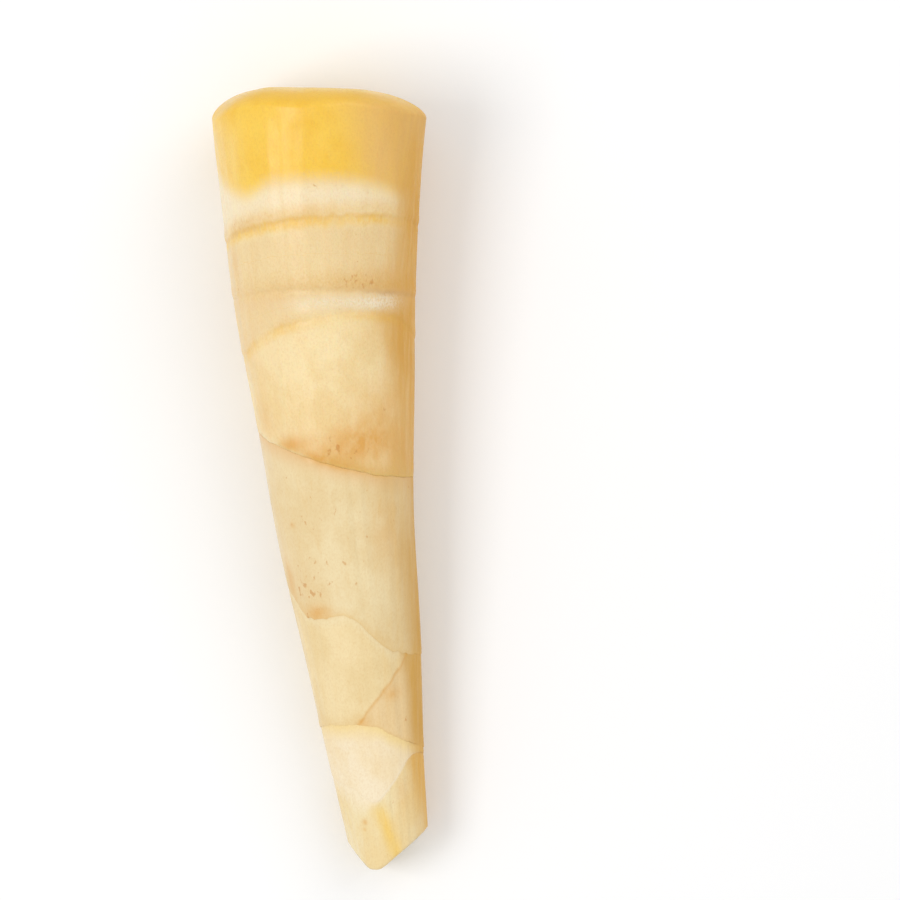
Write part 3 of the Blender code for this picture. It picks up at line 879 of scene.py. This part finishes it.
def make_stem(shape, finish):
    """The stem: cut face, worn rim, three node rings, shoulder of the fourth, and the core under the leaves.

    Rows run from the middle of the cut face over the rim, a superellipse, and along the skin.
    """
    skin = Skin(shape)
    first, second, _, _ = wraps(shape, skin)
    rng = np.random.default_rng(shape.seed + 5)
    theta = columns(STEM_COLUMNS)
    rings = [ragged(RING_1, 51, 0.16 * MM), ragged(RING_2, 52, 0.12 * MM), ragged(RING_3, 53, 0.08 * MM)]

    sides = np.cos(theta) ** 2
    uneven = 1 + 0.06 * waves(np.random.default_rng(RIM_SEED), 0.0, theta, 10, (1, 6))
    length, reach = (uneven * (above + (beside - above) * sides)
                     for above, beside in (shape.rim_length, shape.rim_depth))
    half_height = shape.height_ratio * skin.half_width(0.0)
    face_depth = blend_rows(half_height, reach, FACE_ROWS)
    turn = blend_rows(0.0, pi / 2, RIM_ROWS)
    rim_s = length * (1 - np.cos(turn) ** 1.25)
    rim_depth = reach * (1 - np.sin(turn) ** 1.25)
    facets = 0.12 * MM * waves(rng, rim_s, theta, 20, (3, 11), 40.0) * np.sin(2 * turn)

    shoulder = first.start(theta)
    skin_s = blend_rows(length, shoulder - 0.25 * MM, SKIN_ROWS)
    relief = fine_relief(skin_s, theta, rng, 0.006 * MM)
    for curve, ridge, groove in zip(rings, (0.16, 0.10, 0.14), (0.16, 0.14, 0.12)):
        relief = relief + node_ring(skin_s, curve(theta), ridge * MM, groove * MM)
    relief = spots(skin_s, theta, [(0.25 * MM, 14, 100, 5, 16), (0.2 * MM, 41, 70, 4, 20),
                                   (0.22 * MM, 70, 60, 7, 16), (0.25 * MM, 76, 130, 6, 14),
                                   (0.3 * MM, 40, 210, 6, 20)], relief)
    relief = relief * skin.free(theta) * step(skin_s, length, 2 * length)
    past = skin_s - shoulder
    swell = 0.04 * bell(past, 0.6 * MM) - 0.06 * bell(past + 2.2 * MM, 1.5 * MM)
    relief = relief + MM * swell * skin.free(theta)

    hidden = second.root(theta) - shape.gap
    core = [blend_rows(shoulder, hidden, CORE_ROWS[0]), blend_rows(hidden, CORE_END, CORE_ROWS[1]),
            CORE_END + 0 * theta[None]]
    core_depth = [wrap.inner(rows, theta) + shape.gap for wrap, rows in zip((first, second, second), core)]
    lip = shoulder - MM * np.array([[0.25], [0.10], [0.0]])
    lip_depth = relief[-1:] + MM * np.array([[0.0], [0.01], [0.03]])
    s = stack(0.0 * face_depth, rim_s, skin_s, lip, *core, CORE_END + 0 * theta)
    depth = stack(face_depth, rim_depth + facets, relief, lip_depth, *core_depth, DEEPEST + 0 * theta)

    on_face = np.arange(len(s))[:, None] < FACE_ROWS
    inward = np.clip(1 - depth / half_height, 0, 1)
    share = inward / inward[FACE_ROWS]
    knife_rng = np.random.default_rng(KNIFE_SEED)
    knife = 0.08 * MM * waves(knife_rng, inward * np.sin(theta), 0 * theta, 10, (0, 0), 9.0)
    sunk = 0.3 * MM * (1 - share ** 2)
    sunk = sunk + (knife + 0.03 * MM * waves(rng, share, theta, 30, (2, 22), 6.0)) * share
    s = s + np.where(on_face, sunk * step(1 - share, 0.0, 0.2), 0.0)

    fields = stem_fields(s, theta, rng, skin, rings, shoulder)
    fields["rim"] = step(share, 0.1, 1.0)
    fields["face"] = np.where(on_face, 1.0, 1 - step(s / length, 0.0, 0.35))
    fields["worn"] = 0.7 * (1 - step(s / length, 0.45, 1.05))
    surface("stem", skin.place(s, theta, depth), False, fields, finish.stem(), "culm")


def sheath_grid(wrap, theta, rows, skin, rng, veins, lift):
    """Rows of a sheath, from its root along the outer face, round its free edge and back inside.

    The free edge curls out unevenly, and by `lift` more.
    """
    root, start, end = wrap.root(theta), wrap.start(theta), wrap.end(theta)
    before_edge = end - 0.1 * MM
    if wrap.cover:
        outside = np.concatenate([blend_rows(root, start, ROOT_ROWS), blend_rows(start, before_edge, rows)])
    else:
        outside = blend_rows(root, before_edge, rows)
    inside = blend_rows(before_edge, root, INSIDE_ROWS)
    curl = (0.05 * MM * np.maximum(waves(rng, 0.0, theta, 20, (2, 9)), 0) + lift) * skin.free(theta)
    relief = fine_relief(outside, theta, rng, veins) * step(outside, start, start + ONSET) * skin.free(theta)
    outer = wrap.outer(outside, theta) + relief * (outside > start) * step(end - outside, 0, ONSET)
    outer = outer - curl * bell(end - outside, 2 * MM) + TUCK * bell(end - outside, 0.45 * MM)
    inner = wrap.inner(inside, theta) - curl * bell(end - inside, 2 * MM)
    turn = blend_rows(0.0, pi, ROUND_ROWS)
    round_s = before_edge + 0.1 * MM * np.sin(turn)
    round_depth = outer[-1:] + (inner[:1] - outer[-1:]) * (1 - np.cos(turn)) / 2
    s = stack(outside, round_s, inside, root)
    return s, stack(outer, round_depth, inner, wrap.inner(root, theta)[None])


def begin_sheath(shape, number, rows, veins, lift=None):
    """Starts a sheath, counted from 1 at the stem; gives its skin, wrap, random draws and grid.

    `lift` gives how far the free edge is lifted at an angle round the shoot.
    """
    skin = Skin(shape)
    wrap = wraps(shape, skin)[number - 1]
    rng = np.random.default_rng(shape.seed + number)
    theta = columns(LEAF_COLUMNS)
    lifted = lift(theta) if lift else 0.0
    return skin, wrap, rng, theta, *sheath_grid(wrap, theta, rows, skin, rng, veins, lifted)


def leaf_fields(wrap, s, theta, rng, entry, side=0.95, **more):
    """The fields that every leaf's material reads: distances to its two lines, and masks.

    `entry` is the length in which it takes on its own colour.
    """
    return {
        "start": (s - wrap.start(theta)) / MM,
        "entry": (s - wrap.start(theta)) / entry,
        "edge": (s - wrap.end(theta)) / MM,
        # Partly the leaf's own tan and partly painted shade on the side towards +X.
        "side": side * tan_and_painted_shade(s, theta, rng),
        **dict.fromkeys(("flush", "stain", "crease", "layers", "bright", "seam", "fleck"), 0.0),
        **more,
    }


def make_first_sheath(shape, finish):
    """The first sheath, from the fourth ring to the lobed fifth."""
    skin, wrap, rng, theta, s, depth = begin_sheath(shape, 1, rows=134, veins=0.010 * MM)
    left = step(-np.cos(theta), -0.2, 0.9)
    stain = spots(s, theta, [(0.7, 129.5, 128, 2.2, 14), (0.6, 107, 138, 0.8, 3), (0.5, 120, 160, 6, 7),
                             (0.3, 112, 55, 9, 14)])
    stain = stain + 0.6 * bell(s - wrap.start(theta), 1.3 * MM) * facing(theta, 96, 28)
    fleck = spots(s, theta, [(0.8, 126, 130, 8, 26), (0.5, 110, 100, 14, 60)])
    seam = 0.15 + 0.7 * facing(theta, 93, 16) + 0.4 * facing(theta, 60, 20)
    flush = 0.15 * left * (1 - 0.6 * step(s, 90 * MM, 100 * MM) + 0.4 * step(s, 105 * MM, 125 * MM))
    fields = leaf_fields(wrap, s, theta, rng, 5 * MM, seam=seam, flush=flush, stain=np.clip(stain, 0, 1),
                         fleck=np.clip(fleck, 0, 1))
    shader = finish.leaf("sheath leaf", finish.colours.sheath, TINT["deep sheath"], TINT["sheath side"],
                         TINT["flush"], 0.16, 0.3)
    surface("first_sheath", skin.place(s, theta, depth), True, fields, shader, "sheath_1")


def make_second_sheath(shape, finish):
    """The second sheath, with its slanting margin: a small step down where one side laps over the other."""
    rows = 96
    skin, wrap, rng, theta, s, depth = begin_sheath(
        shape, 2, rows, veins=0.010 * MM, lift=lambda theta: 0.16 * MM * facing(theta, 185, 35))
    turned = np.mod(theta + MARGIN_BREAK, 2 * pi) - MARGIN_BREAK - MARGIN_ANGLE
    margin = (MARGIN_PLACE + MARGIN_SLOPE * turned) * MM
    margin = margin + 0.15 * MM * waves(np.random.default_rng(MARGIN_SEED), 0.0, theta, 20, (4, 30))
    past = s - margin
    near = step(-np.cos(theta - radians(250)), -0.9, 0.2)
    lap = step(past, -0.3 * MM, 0.3 * MM)
    inset = step(s - wrap.start(theta), 0, ONSET) * step(wrap.end(theta) - s, 0, ONSET)
    outer_face = np.arange(len(s))[:, None] < ROOT_ROWS + rows
    depth = depth + np.where(outer_face, 0.10 * MM * (lap - 0.5) * near * inset, 0)
    line = bell(past - 0.1 * MM, 0.6 * MM) * near
    stain = spots(s, theta, [(0.6, 150.8, 62, 1.6, 9), (0.5, 157.6, 100, 1.2, 7)], 0.5 * line)
    fields = leaf_fields(wrap, s, theta, rng, 3 * MM, seam=0.15, flush=0.45 * (lap * near),
                         stain=np.clip(stain, 0, 1))
    shader = finish.leaf("second sheath leaf", TINT["second sheath"], TINT["deep second sheath"],
                         TINT["second sheath side"], finish.colours.sheath, 0.14, 0.2)
    surface("second_sheath", skin.place(s, theta, depth), True, fields, shader, "sheath_2")


def make_pale_scale(shape, finish):
    """The pale scale near the tip, which ends in a point."""
    skin, wrap, rng, theta, s, depth = begin_sheath(shape, 3, rows=78, veins=0.006 * MM)
    # A painted highlight: a thin pale line just before the scale's free edge, on its upper right side.
    bright = 0.6 * bell(s - wrap.end(theta), 0.3 * MM) * facing(theta, 75, 22)
    fields = leaf_fields(wrap, s, theta, rng, 4.5 * MM, bright=bright)
    shader = finish.leaf("pale scale", finish.colours.scale, TINT["deep scale"], TINT["scale side"],
                         TINT["scale root"], 0.08, 0.0)
    surface("pale_scale", skin.place(s, theta, depth), True, fields, shader, "sheath_3")


def from_crease(s, theta):
    """Angle from the tip's crease, which slants across the top."""
    return np.mod(theta - radians(97) + (s / MM - 178) * radians(1.35) + pi, 2 * pi) - pi


def make_tip(shape, finish):
    """The rolled tip: a crease down its top, and a cut end where the youngest leaves show faintly as a roll.

    Rows run from a pole inside, under the wraps, along the skin and over the rim to the middle of the cut.
    The roll is a spiral: a number of turns times the way in, plus the angle.
    """
    skin = Skin(shape)
    _, second, third, wrap = wraps(shape, skin)
    rng = np.random.default_rng(shape.seed + 4)
    theta = columns(LEAF_COLUMNS)
    start, brim = wrap.start(theta), skin.tip_end(theta, 0.0) - TIP_RIM
    root = third.root(theta) - shape.gap
    first_line = CORE_END + shape.gap
    hidden = [blend_rows(first_line, root, TIP_ROOT_ROWS[0]), blend_rows(root, start, TIP_ROOT_ROWS[1])]
    hidden_depth = [cover.inner(rows, theta) + shape.gap for cover, rows in zip((second, third), hidden)]
    seen = blend_rows(start, brim, TIP_ROWS)
    crease = bell(from_crease(seen, theta), radians(9)) * step(seen, 177 * MM, 181 * MM)
    relief = fine_relief(seen, theta, rng, 0.010 * MM) * step(seen, start, start + ONSET)
    relief = (relief + 0.4 * MM * crease) * skin.free(theta)
    outer = wrap.outer(seen, theta) + relief
    turn = blend_rows(0.0, pi / 2, TIP_RIM_ROWS)
    rim_depth = outer[-1:] + TIP_RIM * (1 - np.cos(turn))
    rim_s = brim + TIP_RIM * np.sin(turn)
    innermost = 0.98 * shape.height_ratio * skin.half_width(TIP_MIDDLE) + 0 * theta
    cap_depth = blend_rows(outer[-1] + TIP_RIM, innermost, CAP_ROWS)
    cap_s = skin.tip_end(np.broadcast_to(theta, cap_depth.shape), cap_depth)

    middle = 1 - cap_depth / cap_depth.max()
    roll = middle * 6.5 + theta / (2 * pi) + 0.11 * waves(rng, middle, theta, 14, (1, 4), 0.8)
    between = np.abs(np.mod(roll, 1) - 0.5) * 2
    broken = step(waves(rng, middle, theta, 12, (1, 5), 1.5), -1.2, 0.6)
    slit = step(between, 0.66, 0.98) * step(middle, 0.05, 0.12) * step(1 - middle, 0.06, 0.16) * broken
    height = 0.12 * MM * np.abs(np.sin(np.floor(roll) * 2.4 + 0.7))
    cap_s = cap_s - (0.12 * MM * slit + height * (1 - middle)) * step(1 - middle, 0.02, 0.2)

    pole = skin.tip_end(theta, DEEPEST) - 0.05 * MM
    s = stack(first_line + 0 * theta, *hidden, seen, rim_s, cap_s, pole)
    depth = stack(DEEPEST + 0 * theta, *hidden_depth, outer, rim_depth, cap_depth, DEEPEST + 0 * theta)
    layers = np.zeros(s.shape)
    layers[-1 - CAP_ROWS:-1] = 0.3 * slit
    on_skin = step(len(s) - np.arange(len(s))[:, None], CAP_ROWS - 2, CAP_ROWS + 4)
    streak = 0.75 * bell(from_crease(s, theta), radians(10)) * step(s, 176.5 * MM, 181 * MM) * on_skin
    stain = spots(s, theta, [(0.6, 182.5, 118, 0.7, 4), (0.4, 184.3, 121, 0.5, 3), (0.35, 176, 62, 4, 10)])
    entry = MM * (0.8 + 6 * step(-np.cos(theta - radians(20)), -0.3, 0.3))
    fields = leaf_fields(wrap, s, theta, rng, entry, 0.95 * on_skin, crease=streak, layers=layers,
                         stain=np.clip(stain, 0, 1))
    shader = finish.leaf("tip leaf", finish.colours.tip, TINT["deep tip"], TINT["tip side"],
                         finish.colours.scale, 0.16, 0.0)
    surface("tip", skin.place(s, theta, depth), False, fields, shader, "tip_roll")


# --- Stage ---

def make_floor(stage):
    """A plain square floor under the shoot."""
    mesh = bpy.data.meshes.new("floor")
    corners = [(FLOOR_HALF * x, FLOOR_HALF * y, 0.0) for x, y in ((-1, -1), (1, -1), (1, 1), (-1, 1))]
    mesh.from_pydata(corners, [], [(0, 1, 2, 3)])
    mesh.materials.append(floor_material(stage))
    floor = bpy.data.objects.new("floor", mesh)
    bpy.context.scene.collection.objects.link(floor)


def make_light(name, place, size, power):
    """A large square soft light that faces the shoot."""
    light = bpy.data.lights.new(name, "AREA")
    light.shape, light.size, light.energy = "SQUARE", size, power
    lamp = bpy.data.objects.new(name, light)
    lamp.location = place
    lamp.rotation_euler = lamp.location.to_track_quat("Z", "Y").to_euler()
    bpy.context.scene.collection.objects.link(lamp)


def make_lights(stage):
    """Even daylight from all round, a soft key light from the upper left and a weaker one from the right."""
    world = bpy.data.worlds.new("daylight")
    world.use_nodes = True
    background = world.node_tree.nodes["Background"]
    background.inputs["Color"].default_value = (1.0, 1.0, 1.0, 1.0)
    background.inputs["Strength"].default_value = stage.daylight
    bpy.context.scene.world = world
    make_light("key", place=(-0.60, -0.02, 0.93), size=0.45, power=stage.key)
    make_light("fill", place=(0.60, 0.55, 0.80), size=0.8, power=0.65 * stage.key)


def make_camera(stage):
    """A camera straight above, turned so that the shoot lies aslant.

    It is as far away as its lens needs to take in the view's width at a third of the shoot's height.
    """
    camera = bpy.data.cameras.new("camera")
    camera.lens, camera.sensor_width = stage.lens, 36.0
    level = (CAD_BOX[0][2] + CAD_BOX[1][2]) / 3
    distance = stage.view_width * stage.lens / camera.sensor_width
    holder = bpy.data.objects.new("camera", camera)
    holder.location = (stage.aim[0], stage.aim[1], level + distance)
    holder.rotation_euler = (0.0, 0.0, stage.roll)
    bpy.context.scene.collection.objects.link(holder)
    bpy.context.scene.camera = holder
    bpy.context.scene.view_settings.view_transform = "Standard"


# --- Operators and panel ---

def settings_of(context):
    """The shape that is set, and the finish made from the colours that are set."""
    return context.scene.shoot_shape, Finish(context.scene.shoot_finish)


class SHOOT_OT_stem(bpy.types.Operator):
    """Make the stem with its cut base and node rings"""

    bl_idname = "shoot.stem"
    bl_label = "Stem"

    def execute(self, context):
        make_stem(*settings_of(context))
        return {"FINISHED"}


class SHOOT_OT_sheaths(bpy.types.Operator):
    """Make the two leaf sheaths and the pale scale"""

    bl_idname = "shoot.sheaths"
    bl_label = "Sheaths"

    def execute(self, context):
        for make in (make_first_sheath, make_second_sheath, make_pale_scale):
            make(*settings_of(context))
        return {"FINISHED"}


class SHOOT_OT_tip(bpy.types.Operator):
    """Make the rolled tip with its cut end"""

    bl_idname = "shoot.tip"
    bl_label = "Tip"

    def execute(self, context):
        make_tip(*settings_of(context))
        return {"FINISHED"}


class SHOOT_OT_stage(bpy.types.Operator):
    """Make the floor, the lights and the camera"""

    bl_idname = "shoot.stage"
    bl_label = "Stage"

    def execute(self, context):
        stage = context.scene.shoot_stage
        make_floor(stage)
        make_lights(stage)
        make_camera(stage)
        return {"FINISHED"}


class SHOOT_PT_panel(bpy.types.Panel):
    """Lists the shoot's pieces in the sidebar"""

    bl_idname = "SHOOT_PT_panel"
    bl_label = "Bamboo Shoot"
    bl_space_type = "VIEW_3D"
    bl_region_type = "UI"
    bl_category = "Shoot"

    def draw(self, context):
        for name, group_of in SETTINGS:
            box = self.layout.box()
            for setting in group_of.__annotations__:
                box.prop(getattr(context.scene, name), setting)
        for operator in OPERATORS:
            self.layout.operator(operator.bl_idname)


OPERATORS = (SHOOT_OT_stage, SHOOT_OT_stem, SHOOT_OT_sheaths, SHOOT_OT_tip)
SETTINGS = (("shoot_shape", ShootShape), ("shoot_finish", ShootFinish), ("shoot_stage", ShootStage))


def register():
    """Registers the settings, the operators and the panel."""
    for name, settings in SETTINGS:
        bpy.utils.register_class(settings)
        setattr(bpy.types.Scene, name, bpy.props.PointerProperty(type=settings))
    for made in (*OPERATORS, SHOOT_PT_panel):
        bpy.utils.register_class(made)


def unregister():
    """Takes them all away again."""
    for made in reversed((*OPERATORS, SHOOT_PT_panel)):
        bpy.utils.unregister_class(made)
    for name, settings in reversed(SETTINGS):
        delattr(bpy.types.Scene, name)
        bpy.utils.unregister_class(settings)


def main():
    """Makes the whole scene."""
    register()
    bpy.ops.shoot.stage()
    bpy.ops.shoot.stem()
    bpy.ops.shoot.sheaths()
    bpy.ops.shoot.tip()
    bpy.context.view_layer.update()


if __name__ == "__main__":
    main()
